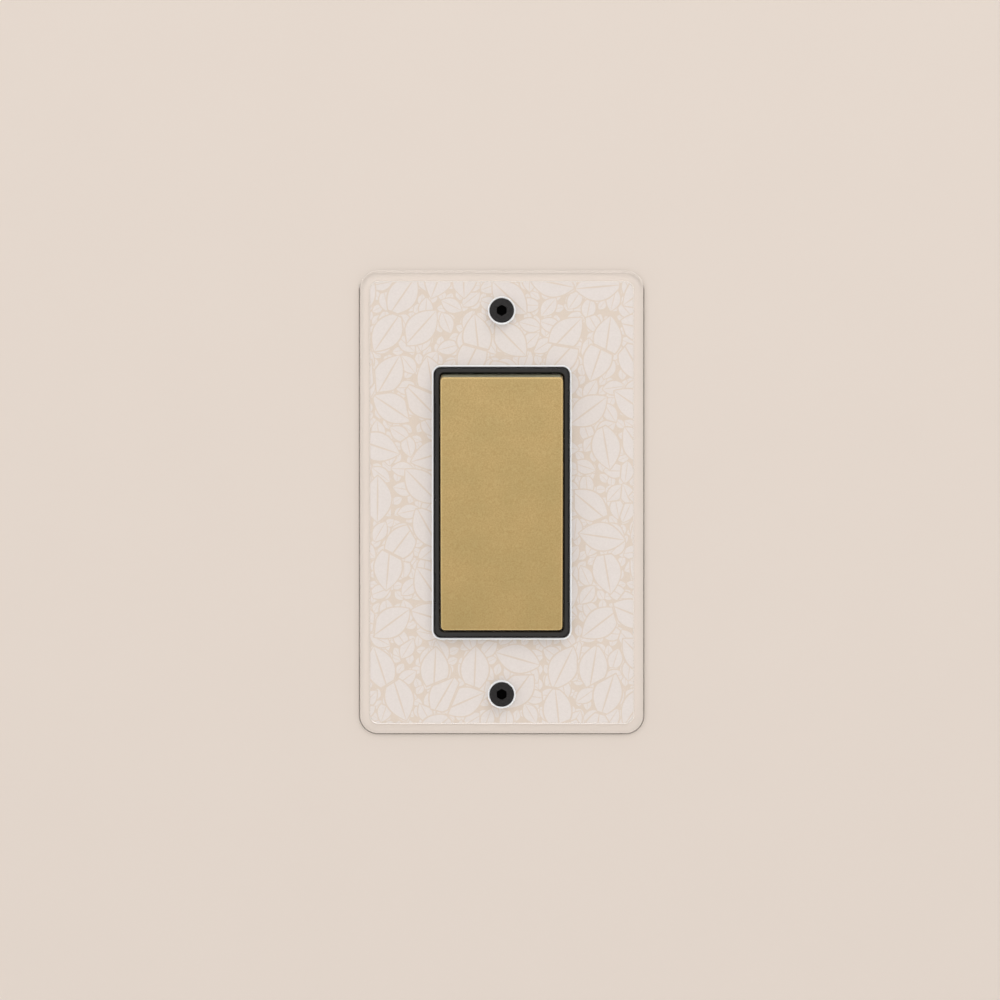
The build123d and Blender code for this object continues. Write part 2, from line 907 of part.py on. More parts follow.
def box_screw(z):
    """A flat-head screw that sits in the strap's dimple and fastens the switch to the box."""
    cone_back = strap_front + box_head_radius - box_screw_neck_radius
    neck_back = dimple_back + box_screw_neck_past_dimple
    tip = strap_front + box_screw_length
    screw = turned(
        [
            (0, strap_front),
            (box_head_radius, strap_front),
            (box_screw_neck_radius, cone_back),
            (box_screw_neck_radius, neck_back),
            (screw_radius, neck_back),
            (screw_radius, tip),
            (0, tip),
        ]
    )
    slot = slab(
        Rectangle(2 * box_head_radius, slot_width), strap_front, strap_front + slot_depth
    )
    return Pos(0, 0, z) * (screw - slot)


def rear_cover():
    """The cover behind the body: tongues that close the terminal slots, pillars under the fixed
    contacts and a spigot for the plunger's spring."""
    cover = slab(
        RectangleRounded(body_width, body_height, body_corner_radius),
        body_back,
        cover_back,
    )
    cover = chamfer(cover.faces().sort_by(Axis.Y)[-1].edges(), cover_edge_bevel)
    pillar_width = contact_x - terminal_inner_x + contact_radius
    for side in (-1, 1):
        tongue = Pos(side * (body_side - body_wall / 2), plunger_z) * Rectangle(
            body_wall, terminal_width
        )
        pillar = Pos(
            side * (terminal_inner_x + pillar_width / 2), plunger_z
        ) * Rectangle(pillar_width, terminal_width)
        cover += slab(tongue, blade_back, body_back)
        cover += slab(pillar, blade_back, body_back)
        shank = Pos(terminal_screw_y, plunger_z) * Circle(
            terminal_screw_radius + terminal_screw_hole_gap
        )
        cover -= side_slab(
            shank, *sorted((side * (body_side - body_wall), side * body_side))
        )
    cover += rod(
        cover_spigot_radius, body_back - cover_spigot_height, body_back, z=plunger_z
    )
    for x in (-cover_screw_x, cover_screw_x):
        for z in (-cover_screw_z, cover_screw_z):
            cover -= rod(
                cover_screw_radius + cover_screw_hole_gap, body_back, cover_back, x, z
            )
    return cover


def cover_screw(x, z):
    """A self-tapping screw that holds the rear cover."""
    screw = slotted_screw(
        cover_head_radius,
        cover_head_height,
        cover_screw_radius,
        cover_screw_length + cover_thickness,
    )
    return Pos(x, cover_back, z) * Rot(0, 0, 180) * screw


def build():
    """Every piece by name."""
    pieces = {
        "clear_plate": clear_plate(),
        "plate_screw_upper": Pos(0, 0, plate_screw_z) * plate_screw(),
        "plate_screw_lower": Pos(0, 0, -plate_screw_z) * plate_screw(),
        "paper_insert": paper_insert(),
        "frame": frame(),
        "strap": strap(),
        "box_screw_upper": box_screw(box_screw_z),
        "box_screw_lower": box_screw(-box_screw_z),
        "ground_screw": ground_screw(),
        "rocker_cap": rocker_cap(),
        "rocker_carrier": rocker_carrier(),
        "pivot_pin": pivot_pin(),
        "housing": housing(),
        "rear_cover": rear_cover(),
        "return_spring": return_spring(),
        "rest_stop_pad": stop_pad(-stop_z),
        "press_stop_pad": stop_pad(stop_z),
        "plunger": plunger(),
        "contact_spring": contact_spring(),
        "contact_bridge": contact_bridge(),
        "retaining_clip": retaining_clip(),
        "plunger_spring": plunger_spring(),
    }
    for side, name in ((-1, "left"), (1, "right")):
        pieces["moving_contact_" + name] = contact_button(
            side, bridge_back, moving_contact_back
        )
        pieces["fixed_contact_" + name] = contact_button(
            side, fixed_contact_front, blade_front
        )
        pieces["terminal_" + name] = terminal(side)
        pieces["clamp_plate_" + name] = clamp_plate(side)
        pieces["terminal_screw_" + name] = terminal_screw(side)
        for up, level in ((1, "upper"), (-1, "lower")):
            pieces["cover_screw_" + level + "_" + name] = cover_screw(
                side * cover_screw_x, up * cover_screw_z
            )
    return pieces


os.makedirs("parts", exist_ok=True)
for node, shape in build().items():
    export_step(shape, "parts/" + node + ".step")
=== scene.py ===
import bmesh
import bpy
import numpy as np
from mathutils import Matrix, Vector


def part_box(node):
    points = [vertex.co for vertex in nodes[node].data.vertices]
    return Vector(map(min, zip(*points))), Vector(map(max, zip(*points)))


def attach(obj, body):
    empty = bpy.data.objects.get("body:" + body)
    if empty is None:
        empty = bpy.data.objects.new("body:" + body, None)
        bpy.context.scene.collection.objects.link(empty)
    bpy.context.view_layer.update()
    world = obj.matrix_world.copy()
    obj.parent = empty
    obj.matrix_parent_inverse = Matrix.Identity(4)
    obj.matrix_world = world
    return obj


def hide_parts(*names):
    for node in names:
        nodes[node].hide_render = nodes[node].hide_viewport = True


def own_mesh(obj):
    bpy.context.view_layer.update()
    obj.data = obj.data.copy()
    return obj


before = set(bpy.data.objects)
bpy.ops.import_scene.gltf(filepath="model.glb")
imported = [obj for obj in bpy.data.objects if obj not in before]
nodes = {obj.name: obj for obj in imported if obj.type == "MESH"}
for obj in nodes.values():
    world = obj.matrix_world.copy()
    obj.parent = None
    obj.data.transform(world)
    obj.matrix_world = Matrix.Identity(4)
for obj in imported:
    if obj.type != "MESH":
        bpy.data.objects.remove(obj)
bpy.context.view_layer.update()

# The dressed rocker switch: what each surface is made of, the threads of its screws, its springs, the
# printed sheet behind the clear plate, a plain wall, soft studio light and a camera straight in front.
# Lengths are metres. +X is right, +Z is up and +Y runs into the wall.


def corners_of(node):
    """The corner points of a CAD piece's mesh, as an array."""
    mesh = nodes[node].data
    points = np.empty(3 * len(mesh.vertices), np.float32)
    mesh.vertices.foreach_get("co", points)
    return points.reshape(-1, 3)


# Sizes that the finishes follow

MM = 0.001
OPENING_GAP = 0.3 * MM  # between the frame and the plate
OPENING_RADIUS = 1.9 * MM  # of the opening's corners
OPENING_SKIN = 0.02 * MM  # how far past its wall the black painted shade of the opening reaches
CUT_BEVEL = 0.42 * MM  # width of the white line that the cutter left round the opening
CUT_DEPTH = 0.21 * MM  # how far below the plate's front that line goes
SEAT_MOUTH = 3.5 * MM  # radius of a countersink at the plate's front
PLATE_RADIUS = 4.8 * MM  # of the plate's corners
EDGE_LINE = 0.42 * MM  # width of the dark line painted round the plate's edge as painted shade
EDGE_ROUNDING = 0.7 * MM  # radius of the plate's front edge
SEAT_LINE = 1.0 * MM  # height over the wall in which the rim keeps light back
SOCKET_RADIUS = 1.32 * MM  # of the circle round a plate screw's hexagon
SOCKET_DEPTH = 1.3 * MM  # at which a socket's painted shade is fully black
STRAP_SKIN = 0.1 * MM  # depth under the strap's front that takes its black painted shade
BAND_WIDTH = 0.5 * MM  # of the strap's black painted shade, past the frame
PAINTED_LIGHT_REACH = 32 * MM  # from the rocker's middle to the ends of its painted light, lighter at the top and darker at the foot
plate_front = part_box("clear_plate")[0].y
plate_half_x, _, plate_half_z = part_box("clear_plate")[1]
paper_middle = sum(corner.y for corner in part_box("paper_insert")) / 2
screw_z = sum(corner.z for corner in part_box("plate_screw_upper")) / 2
strap_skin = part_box("strap")[0].y + STRAP_SKIN
frame_points = corners_of("frame")
frame_half_x, _, frame_half_z = frame_points[frame_points[:, 1] < plate_front].max(0).tolist()

# Small helpers

RGBA = {"out": "Result", "data_type": "RGBA"}  # the settings of a Mix node for colours
LOW, HIGH = 0.3, 0.7  # nearly all of a noise lies between these


def linear(hex_colour):
    """Turns an sRGB colour such as #a0b0c0 into the linear numbers that a shader takes."""
    parts = np.array([int(hex_colour[i : i + 2], 16) for i in (1, 3, 5)]) / 255
    low, high = parts / 12.92, ((parts + 0.055) / 1.055) ** 2.4
    return (*np.where(parts <= 0.04045, low, high).tolist(), 1.0)


def join(tree, made, sockets):
    """Sets a node's sockets: a socket of another node is linked, and anything else is its value."""
    for key, value in sockets.items():
        if isinstance(value, bpy.types.NodeSocket):
            tree.links.new(value, made.inputs[key])
        else:
            made.inputs[key].default_value = value


def put(tree, kind, sockets=None, out=0, **settings):
    """Adds a node with its settings and sockets, and gives its output socket. The numbered sockets of
    a MapRange are the value, the two ends it comes from and the two ends it goes to."""
    made = tree.nodes.new("ShaderNode" + kind)
    for name, value in settings.items():
        setattr(made, name, value)
    join(tree, made, sockets or {})
    return made.outputs[out]


def start(name):
    """A new material: itself, its tree, its Principled shader and the Object coordinates."""
    made = bpy.data.materials.new(name)
    made.use_nodes = True
    tree = made.node_tree
    tree.nodes.clear()
    shader = tree.nodes.new("ShaderNodeBsdfPrincipled")
    end = tree.nodes.new("ShaderNodeOutputMaterial")
    end.name = "end"
    tree.links.new(shader.outputs[0], end.inputs["Surface"])
    return made, tree, shader, put(tree, "TexCoord", out="Object")


def grain(tree, where, size_mm, detail=2.0, stretch=(1, 1, 1)):
    """A noise whose blotches are about size_mm wide, drawn out along an axis by stretch."""
    scale = [1 / (size_mm * MM * s) for s in stretch]
    placed = put(tree, "Mapping", {"Vector": where, "Scale": scale})
    return put(tree, "TexNoise", {"Vector": placed, "Scale": 1.0, "Detail": detail})


def on_face(tree, where):
    """The coordinates with their depth taken out."""
    return put(tree, "VectorMath", {0: where, 1: (1, 0, 1)}, operation="MULTIPLY")


def beyond(tree, where, half_x, half_z):
    """How far a point seen from the front lies outside a rectangle about the middle: the length of
    what its coordinates, folded into one quarter, have over the half sizes."""
    folded = put(tree, "VectorMath", {0: on_face(tree, where)}, operation="ABSOLUTE")
    past = put(tree, "VectorMath", {0: folded, 1: (half_x, 0, half_z)}, operation="SUBTRACT")
    outside = put(tree, "VectorMath", {0: past, 1: (0, 0, 0)}, operation="MAXIMUM")
    return put(tree, "VectorMath", {0: outside}, out="Value", operation="LENGTH")


def dress(material, *names):
    """Gives a material to the named pieces of the model, whole."""
    for name in names:
        for slot in nodes[name].material_slots:
            slot.material = material


def mesh_object(name, points, faces, material):
    """A new mesh object at the origin, smooth shaded, from arrays of points and faces."""
    mesh = bpy.data.meshes.new(name)
    mesh.from_pydata(points.reshape(-1, 3).tolist(), [], faces.tolist())
    mesh.update()
    mesh.polygons.foreach_set("use_smooth", np.ones(len(mesh.polygons), bool))
    mesh.materials.append(material)
    made = bpy.data.objects.new(name, mesh)
    bpy.context.scene.collection.objects.link(made)
    return made


def tube_faces(rows, columns):
    """The quads of rings of points counted ring by ring, each ring closed on itself."""
    r, c = np.meshgrid(np.arange(rows - 1), np.arange(columns), indexing="ij")
    right = (c + 1) % columns
    corners = [r * columns + c, r * columns + right]
    corners += [(r + 1) * columns + right, (r + 1) * columns + c]
    return np.stack(corners, -1).reshape(-1, 4)


# Materials


def clear_acrylic():
    """Cast acrylic sheet with polished faces: water clear and mirror smooth, with a hair of waviness.
    The bevel of the opening and the two countersinks are left as the cutter made them, so they catch
    the light as fine white lines. The rounded outer edge is painted dark along the sides and the foot,
    as painted shade that draws a fine dark line round the plate, and where the rim meets the wall it
    keeps light back. The wall of the opening is painted black, as painted shade that makes the gap
    round the frame show as a black line. Light that has been mirrored inside the sheet twice passes
    out of it, so that the sides stay pale."""
    made, tree, shader, where = start("polished_clear_acrylic")
    depth = put(tree, "SeparateXYZ", {0: where}, out="Y")
    height = put(tree, "SeparateXYZ", {0: where}, out="Z")

    # What the cutter left white, and the wall under it, painted black as painted shade in the gap
    # round the frame
    inner_x = frame_half_x + OPENING_GAP - OPENING_RADIUS
    inner_z = frame_half_z + OPENING_GAP - OPENING_RADIUS
    reach = beyond(tree, where, inner_x, inner_z)
    in_bevel = put(tree, "Math", {0: reach, 1: OPENING_RADIUS + CUT_BEVEL}, operation="LESS_THAN")
    at_front = put(tree, "Math", {0: depth, 1: plate_front + CUT_DEPTH}, operation="LESS_THAN")
    at_wall = put(tree, "Math", {0: reach, 1: OPENING_RADIUS + OPENING_SKIN}, operation="LESS_THAN")
    below = put(tree, "Math", {0: 1.0, 1: at_front}, operation="SUBTRACT")
    black = put(tree, "Math", {0: at_wall, 1: below}, operation="MULTIPLY")
    bevel = put(tree, "Math", {0: in_bevel, 1: at_front}, operation="MULTIPLY")
    folded = put(tree, "VectorMath", {0: on_face(tree, where)}, operation="ABSOLUTE")
    axis = (0, 0, screw_z)
    off_axis = put(tree, "VectorMath", {0: folded, 1: axis}, out="Value", operation="DISTANCE")
    seat = put(tree, "Math", {0: off_axis, 1: SEAT_MOUTH}, operation="LESS_THAN")
    cut = put(tree, "Math", {0: bevel, 1: seat}, operation="MAXIMUM")

    # Painted shade: a dark line painted on the plate's rounded edge, left out at its upper end, where
    # the light from above falls
    half_x, half_z = plate_half_x - PLATE_RADIUS, plate_half_z - PLATE_RADIUS
    rim = beyond(tree, where, half_x, half_z)
    inside, outside = PLATE_RADIUS - EDGE_LINE, PLATE_RADIUS - EDGE_LINE / 2
    outline = put(tree, "MapRange", {0: rim, 1: inside, 2: outside})
    faded = half_z + PLATE_RADIUS / 2
    upper = put(tree, "MapRange", {0: height, 1: half_z, 2: faded, 3: 1.0, 4: 0.0})
    rounded = put(tree, "Math", {0: depth, 1: plate_front + EDGE_ROUNDING}, operation="LESS_THAN")
    painted_edge_shade = put(tree, "Math", {0: outline, 1: upper}, operation="MULTIPLY")
    line = put(tree, "Math", {0: painted_edge_shade, 1: rounded}, operation="MULTIPLY")

    sides = {"Factor": line, "A": linear("#ffffff"), "B": linear("#38332f")}
    colours = {"Factor": black, "A": put(tree, "Mix", sides, **RGBA), "B": linear("#070707")}
    clearness = put(tree, "MapRange", {0: cut, 3: 1.0, 4: 0.05})
    seen_through = {0: clearness, 1: black}
    wave = {"Height": grain(tree, where, 9, 1), "Strength": 0.02, "Distance": 0.1 * MM}
    finish = {
        "Base Color": put(tree, "Mix", colours, **RGBA),
        "Transmission Weight": put(tree, "Math", seen_through, operation="SUBTRACT", use_clamp=True),
        "Roughness": put(tree, "MapRange", {0: cut, 3: 0.01, 4: 0.5}),
        "IOR": 1.49,
        "Normal": put(tree, "Bump", wave),
    }
    join(tree, shader, finish)

    # Light on its way to what lies behind passes straight on, a little dimmed where it is edge on
    edge_on = put(tree, "LayerWeight", {"Blend": 0.5}, out="Facing")
    dimmed = put(tree, "Math", {0: edge_on, 1: 3.0}, operation="POWER")
    veil = {"Factor": dimmed, "A": linear("#ffffff"), "B": linear("#cfcac5")}
    low_down = put(tree, "Math", {0: depth, 1: -SEAT_LINE}, operation="GREATER_THAN")
    foot = put(tree, "Math", {0: low_down, 1: outline}, operation="MULTIPLY")
    shades = {"Factor": foot, "A": put(tree, "Mix", veil, **RGBA), "B": linear("#6f6a65")}
    clear = put(tree, "BsdfTransparent", {"Color": put(tree, "Mix", shades, **RGBA)})
    shadow_ray = put(tree, "LightPath", out="Is Shadow Ray")
    diffuse_ray = put(tree, "LightPath", out="Is Diffuse Ray")
    lamps = put(tree, "Math", {0: shadow_ray, 1: diffuse_ray}, operation="MAXIMUM")
    bounces = put(tree, "LightPath", out="Glossy Depth")
    trapped = put(tree, "Math", {0: bounces, 1: 1.5}, operation="GREATER_THAN")
    passing = put(tree, "Math", {0: lamps, 1: trapped}, operation="MAXIMUM")
    mixed = put(tree, "MixShader", {0: passing, 1: shader.outputs[0], 2: clear})
    join(tree, tree.nodes["end"], {"Surface": mixed})
    return made


def satin_brass():
    """Pressed cartridge brass, bead blasted and lacquered: an even satin with a very fine sparkle and
    faint warm and green clouds. Its edges are painted pale and bright, a painted highlight. It is
    painted a little lighter towards its top and darker towards its foot, as painted light from
    above, and the cap's upward-facing top end is painted duller and greener, as painted shade."""
    made, tree, shader, where = start("satin_lacquered_brass")
    clouds = put(tree, "MapRange", {0: grain(tree, where, 9, 3), 1: LOW, 2: HIGH})
    height = put(tree, "SeparateXYZ", {0: where}, out="Z")
    # Painted light: the brass is painted lighter towards the top and darker towards the foot
    pressed = put(tree, "MapRange", {0: height, 1: -PAINTED_LIGHT_REACH, 2: PAINTED_LIGHT_REACH})
    warm = {"Factor": pressed, "A": linear("#bfa877"), "B": linear("#cbb381")}
    green = {"Factor": pressed, "A": linear("#b5a272"), "B": linear("#c2ae7d")}
    tones = {
        "Factor": clouds,
        "A": put(tree, "Mix", warm, **RGBA),
        "B": put(tree, "Mix", green, **RGBA),
    }

    # A bead's dent is about 0.1 mm wide, and is drawn at 0.35 mm to show
    bead = grain(tree, where, 0.35, 3)
    dents = put(tree, "MapRange", {0: bead, 1: 0.34, 2: 0.66, 3: 0.0, 4: 0.55})
    specks = {"Factor": dents, "A": put(tree, "Mix", tones, **RGBA), "B": linear("#aa8d58")}

    # Painted highlight: the edges are painted a pale bright brass
    rounded = put(tree, "Bevel", {"Radius": 0.5 * MM}, samples=8)
    pair = {0: rounded, 1: put(tree, "NewGeometry", out="Normal")}
    alike = put(tree, "VectorMath", pair, out="Value", operation="DOT_PRODUCT")
    edge = put(tree, "MapRange", {0: alike, 1: 0.97, 2: 0.999, 3: 1.0, 4: 0.0})
    painted_edge_highlight = {"Factor": edge, "A": put(tree, "Mix", specks, **RGBA), "B": linear("#f6dda0")}

    # Painted shade: faces turned up, as at the cap's top end, are painted a duller green-grey
    upwards = put(tree, "SeparateXYZ", {0: put(tree, "TexCoord", out="Normal")}, out="Z")
    at_end = put(tree, "MapRange", {0: upwards, 1: 0.8, 2: 0.9})
    painted_top_shade = {"Factor": at_end, "A": put(tree, "Mix", painted_edge_highlight, **RGBA), "B": linear("#a5a58b")}
    finish = {
        "Base Color": put(tree, "Mix", painted_top_shade, **RGBA),
        "Metallic": 1.0,
        "Roughness": put(tree, "MapRange", {0: bead, 1: LOW, 2: HIGH, 3: 0.4, 4: 0.52}),
        "Normal": put(tree, "Bump", {"Height": bead, "Strength": 0.35, "Distance": 0.01 * MM}),
    }
    join(tree, shader, finish)
    return made


def moulding(name, dark, light, roughness, spark_mm):
    """An injection moulded plastic with a spark eroded surface: tiny even pits and a soft shine."""
    made, tree, shader, where = start(name)
    pits = grain(tree, where, spark_mm, 2)
    shade = put(tree, "MapRange", {0: pits, 1: LOW, 2: HIGH})
    tones = {"Factor": shade, "A": linear(dark), "B": linear(light)}
    dull, shiny = roughness + 0.04, roughness - 0.04
    shine = {0: grain(tree, where, 6, 2), 1: LOW, 2: HIGH, 3: shiny, 4: dull}
    finish = {
        "Base Color": put(tree, "Mix", tones, **RGBA),
        "Roughness": put(tree, "MapRange", shine),
        "IOR": 1.53,
        "Normal": put(tree, "Bump", {"Height": pits, "Strength": 0.3, "Distance": 0.01 * MM}),
    }
    join(tree, shader, finish)
    return made


def metal(name, dark, light, roughness, grain_mm, stretch=(1, 1, 1), socket=0, band=False):
    """A worked metal: its colour and shine vary along the grain that rolling or turning left. A plate
    screw's socket, above or below the middle as socket is 1 or -1, is painted black deeper down, as
    painted shade in the hollow. With band set, its front round the frame is painted matt black, as
    painted shade that shows in the gap there."""
    made, tree, shader, where = start(name)
    lines = grain(tree, where, grain_mm, 3, stretch)
    depth = put(tree, "SeparateXYZ", {0: where}, out="Y")
    shade = put(tree, "MapRange", {0: lines, 1: LOW, 2: HIGH})
    tones = {"Factor": shade, "A": linear(dark), "B": linear(light)}
    colour, metallic = put(tree, "Mix", tones, **RGBA), 1.0
    if socket:
        # Painted shade: the socket's hollow is painted black, darker deeper down
        apart = {0: on_face(tree, where), 1: (0, 0, socket * screw_z)}
        off_axis = put(tree, "VectorMath", apart, out="Value", operation="DISTANCE")
        within = put(tree, "Math", {0: off_axis, 1: SOCKET_RADIUS}, operation="LESS_THAN")
        bottom = plate_front + SOCKET_DEPTH
        sunk = put(tree, "MapRange", {0: depth, 1: plate_front, 2: bottom})
        painted_socket_shade = put(tree, "Math", {0: within, 1: sunk}, operation="MULTIPLY")
        colour = put(tree, "Mix", {"Factor": painted_socket_shade, "A": colour, "B": linear("#060606")}, **RGBA)
    if band:
        # Painted shade: the strap's front round the frame is painted matt black, so that the gap there
        # shows black
        reach = beyond(tree, where, frame_half_x, frame_half_z)
        near = put(tree, "Math", {0: reach, 1: BAND_WIDTH}, operation="LESS_THAN")
        front = put(tree, "Math", {0: depth, 1: strap_skin}, operation="LESS_THAN")
        painted = put(tree, "Math", {0: near, 1: front}, operation="MULTIPLY")
        colour = put(tree, "Mix", {"Factor": painted, "A": colour, "B": linear("#060606")}, **RGBA)
        metallic = put(tree, "Math", {0: 1.0, 1: painted}, operation="SUBTRACT")
    shiny, dull = roughness - 0.05, roughness + 0.07
    scratches = {
        "Height": lines,
        "Strength": 0.2,
        "Distance": 0.01 * MM,
        "Normal": put(tree, "Bevel", {"Radius": 0.1 * MM}, samples=6),
    }
    finish = {
        "Base Color": colour,
        "Metallic": metallic,
        "Roughness": put(tree, "MapRange", {0: lines, 1: LOW, 2: HIGH, 3: shiny, 4: dull}),
        "Normal": put(tree, "Bump", scratches),
    }
    join(tree, shader, finish)
    return made


def soft_rubber():
    """Black nitrile rubber, cut from sheet: dull and slightly dusty."""
    made, tree, shader, where = start("black_nitrile_rubber")
    dust = put(tree, "MapRange", {0: grain(tree, where, 0.5, 4), 1: LOW, 2: HIGH})
    tones = {"Factor": dust, "A": linear("#1c1c1d"), "B": linear("#2b2b2b")}
    join(tree, shader, {"Base Color": put(tree, "Mix", tones, **RGBA), "Roughness": 0.85, "IOR": 1.52})
    return made


LEAF_HALF = 0.56  # half a leaf's length, in cells
LEAF_KERB = 0.035  # how far a leaf keeps from its cell's edge, in cells


def leaf_layer(tree, flat, leaf_mm, seed, width):
    """Leaves of one size, one to each cell of a Voronoi pattern and each turned its own way. It gives
    how far inside its leaf a point is: a leaf is a lens between two parabolas that are width from its
    vein at the middle, it keeps clear of the cell's edge, and a fine vein runs along it."""
    scale = (1 / (leaf_mm * MM),) * 3
    shifted = {"Vector": flat, "Location": (seed, 1.7 * seed, 0), "Scale": scale}
    cell = {"Vector": put(tree, "Mapping", shifted), "Scale": 1.0, "Randomness": 0.62}
    cells = put(tree, "TexVoronoi", cell, voronoi_dimensions="2D").node
    edges = put(tree, "TexVoronoi", cell, voronoi_dimensions="2D", feature="DISTANCE_TO_EDGE")
    centred = {0: cell["Vector"], 1: cells.outputs["Position"]}
    local = put(tree, "VectorMath", centred, operation="SUBTRACT")
    turn = put(tree, "Math", {0: cells.outputs["Color"], 1: 2 * np.pi}, operation="MULTIPLY")
    turned = put(tree, "VectorRotate", {"Vector": local, "Angle": turn}, rotation_type="Z_AXIS")
    along = put(tree, "SeparateXYZ", {0: turned}, out="X")
    aside = put(tree, "SeparateXYZ", {0: turned}, out="Y")
    off_vein = put(tree, "Math", {0: aside}, operation="ABSOLUTE")
    share = put(tree, "Math", {0: along, 1: LEAF_HALF}, operation="DIVIDE")
    squared = put(tree, "Math", {0: share, 1: share}, operation="MULTIPLY")
    half = put(tree, "Math", {0: squared, 1: -width, 2: width}, operation="MULTIPLY_ADD")
    lens = put(tree, "Math", {0: half, 1: off_vein}, operation="SUBTRACT")
    trimmed = put(tree, "Math", {0: edges, 1: LEAF_KERB}, operation="SUBTRACT")
    inside = put(tree, "Math", {0: lens, 1: trimmed}, operation="MINIMUM")
    vein_width = put(tree, "Math", {0: half, 1: 0.05, 2: 0.004}, operation="MULTIPLY_ADD")
    vein = put(tree, "Math", {0: off_vein, 1: vein_width}, operation="SUBTRACT")
    veined = put(tree, "Math", {0: inside, 1: vein}, operation="MINIMUM")
    return put(tree, "Math", {0: veined, 1: leaf_mm}, operation="MULTIPLY")


def printed_paper():
    """Uncoated paper printed in two close tones: pale leaves that fill a beige ground, with beige
    lines round them and soft fibres in the sheet. The leaves are a plain design of its own, and only
    the front is printed."""
    made, tree, shader, where = start("printed_uncoated_paper")
    x = put(tree, "SeparateXYZ", {0: where}, out="X")
    z = put(tree, "SeparateXYZ", {0: where}, out="Z")
    flat = put(tree, "CombineXYZ", {0: x, 1: z})
    leaves = leaf_layer(tree, flat, 10.5, 3, 0.33)
    for leaf_mm, seed, width, line in ((5.2, 11, 0.33, 0.42), (2.7, 23, 0.36, 0.34)):
        layer = leaf_layer(tree, flat, leaf_mm, seed, width)
        ring = put(tree, "Math", {0: leaves, 1: -1.0, 2: -line}, operation="MULTIPLY_ADD")
        between = put(tree, "Math", {0: layer, 1: ring}, operation="MINIMUM")
        leaves = put(tree, "Math", {0: leaves, 1: between}, operation="MAXIMUM")
    printed = put(tree, "MapRange", {0: leaves, 1: -0.06, 2: 0.06})
    depth = put(tree, "SeparateXYZ", {0: where}, out="Y")
    back = put(tree, "Math", {0: depth, 1: paper_middle}, operation="GREATER_THAN")
    ink = put(tree, "Math", {0: printed, 1: back}, operation="MAXIMUM")
    tones = {"Factor": ink, "A": linear("#e1d0c0"), "B": linear("#e9dfd9")}
    fibre = grain(tree, where, 0.45, 4)
    mottle = put(tree, "MapRange", {0: fibre, 1: LOW, 2: HIGH, 3: 0.0, 4: 0.2})
    mottled = {"Factor": mottle, "A": put(tree, "Mix", tones, **RGBA), "B": linear("#cfc2b7")}
    finish = {
        "Base Color": put(tree, "Mix", mottled, **RGBA),
        "Roughness": 0.9,
        "IOR": 1.5,
        "Normal": put(tree, "Bump", {"Height": fibre, "Strength": 0.15, "Distance": 0.02 * MM}),
    }
    join(tree, shader, finish)
    return made


def wall_paint():
    """A matt painted wall, which is there only for what looks at it from the front: seen from behind,
    and by the light on the back of the switch, it is clear."""
    made, tree, shader, where = start("matt_wall")
    clouds = {0: grain(tree, where, 30, 4), 1: LOW, 2: HIGH, 3: 0.0, 4: 0.06}
    shade = put(tree, "MapRange", clouds)
    tones = {"Factor": shade, "A": linear("#e4d7cc"), "B": linear("#d8cabf")}
    join(tree, shader, {"Base Color": put(tree, "Mix", tones, **RGBA), "Roughness": 0.9})
    behind = put(tree, "NewGeometry", out="Backfacing")
    in_front = put(tree, "Math", {0: 1.0, 1: behind}, operation="SUBTRACT")
    direct_look = put(tree, "LightPath", out="Is Camera Ray")
    look_through = put(tree, "LightPath", out="Is Transmission Ray")
    look = put(tree, "Math", {0: direct_look, 1: look_through}, operation="MAXIMUM")
    solid = put(tree, "Math", {0: in_front, 1: look}, operation="MULTIPLY")
    clear = put(tree, "BsdfTransparent")
    mixed = put(tree, "MixShader", {0: solid, 1: clear, 2: shader.outputs[0]})
    join(tree, tree.nodes["end"], {"Surface": mixed})
    return made


# Pieces made from those of the model

SHEET_BACKSET = 0.05 * MM
SHARP_ANGLE = np.radians(32)
MERGE_REACH = 1e-7
SPRINGS = (  # each spring, its joint and how far it is pressed together
    ("return_spring", "rocker_pivot", 3.5 * MM),
    ("plunger_spring", "plunger_slide", 1.4 * MM),
)


def merged_copy(node):
    """A working copy of a CAD piece with its triangles joined up again."""
    work = bmesh.new()
    work.from_mesh(nodes[node].data)
    bmesh.ops.remove_doubles(work, verts=work.verts, dist=MERGE_REACH)
    return work


def stand_in(work, name, material, node):
    """Ends a working copy as a new piece in the node's place, whose sharp edges stay sharp."""
    mesh = bpy.data.meshes.new(name)
    work.to_mesh(mesh)
    work.free()
    if "custom_normal" in mesh.attributes:
        mesh.attributes.remove(mesh.attributes["custom_normal"])
    mesh.materials.clear()
    mesh.materials.append(material)
    mesh.polygons.foreach_set("material_index", np.zeros(len(mesh.polygons), np.int32))
    mesh.polygons.foreach_set("use_smooth", np.ones(len(mesh.polygons), bool))
    mesh.set_sharp_from_angle(angle=SHARP_ANGLE)
    made = bpy.data.objects.new(name, mesh)
    bpy.context.scene.collection.objects.link(made)
    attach(made, "switch_body")
    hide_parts(node)
    return made


def printed_sheet():
    """The insert, with its front a hair behind the floor of the plate's recess, so that the plate
    keeps a back face of its own to look through."""
    work = merged_copy("paper_insert")
    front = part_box("paper_insert")[0].y
    for vertex in work.verts:
        if vertex.co.y < paper_middle:
            vertex.co.y = front + SHEET_BACKSET
    stand_in(work, "printed_insert", PAPER, "paper_insert")


def pressed_spring(node, joint, stroke):
    """A coil spring as a piece of its own, standing in the node's place.
    The joint and the stroke are not used."""
    made = stand_in(merged_copy(node), node + "_coil", WIRE, node)
    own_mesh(made)


# Screws with cut threads

THREAD_RADIUS = 1.75 * MM
THREAD_PITCH = 0.794 * MM
THREAD_DEPTH = 0.42 * MM
THREAD_TAPER = 0.35 * MM
THREAD_SIDES = 40
THREAD_STEPS = 12
PLATE_SCREW_CUT = -2.4 * MM  # where a plate screw's thread begins, in Y
BOX_SCREW_CUT = 1.31 * MM  # where a box screw's thread begins, in Y
GROUND_HEAD = 2.25 * MM  # from the ground screw's head to its thread


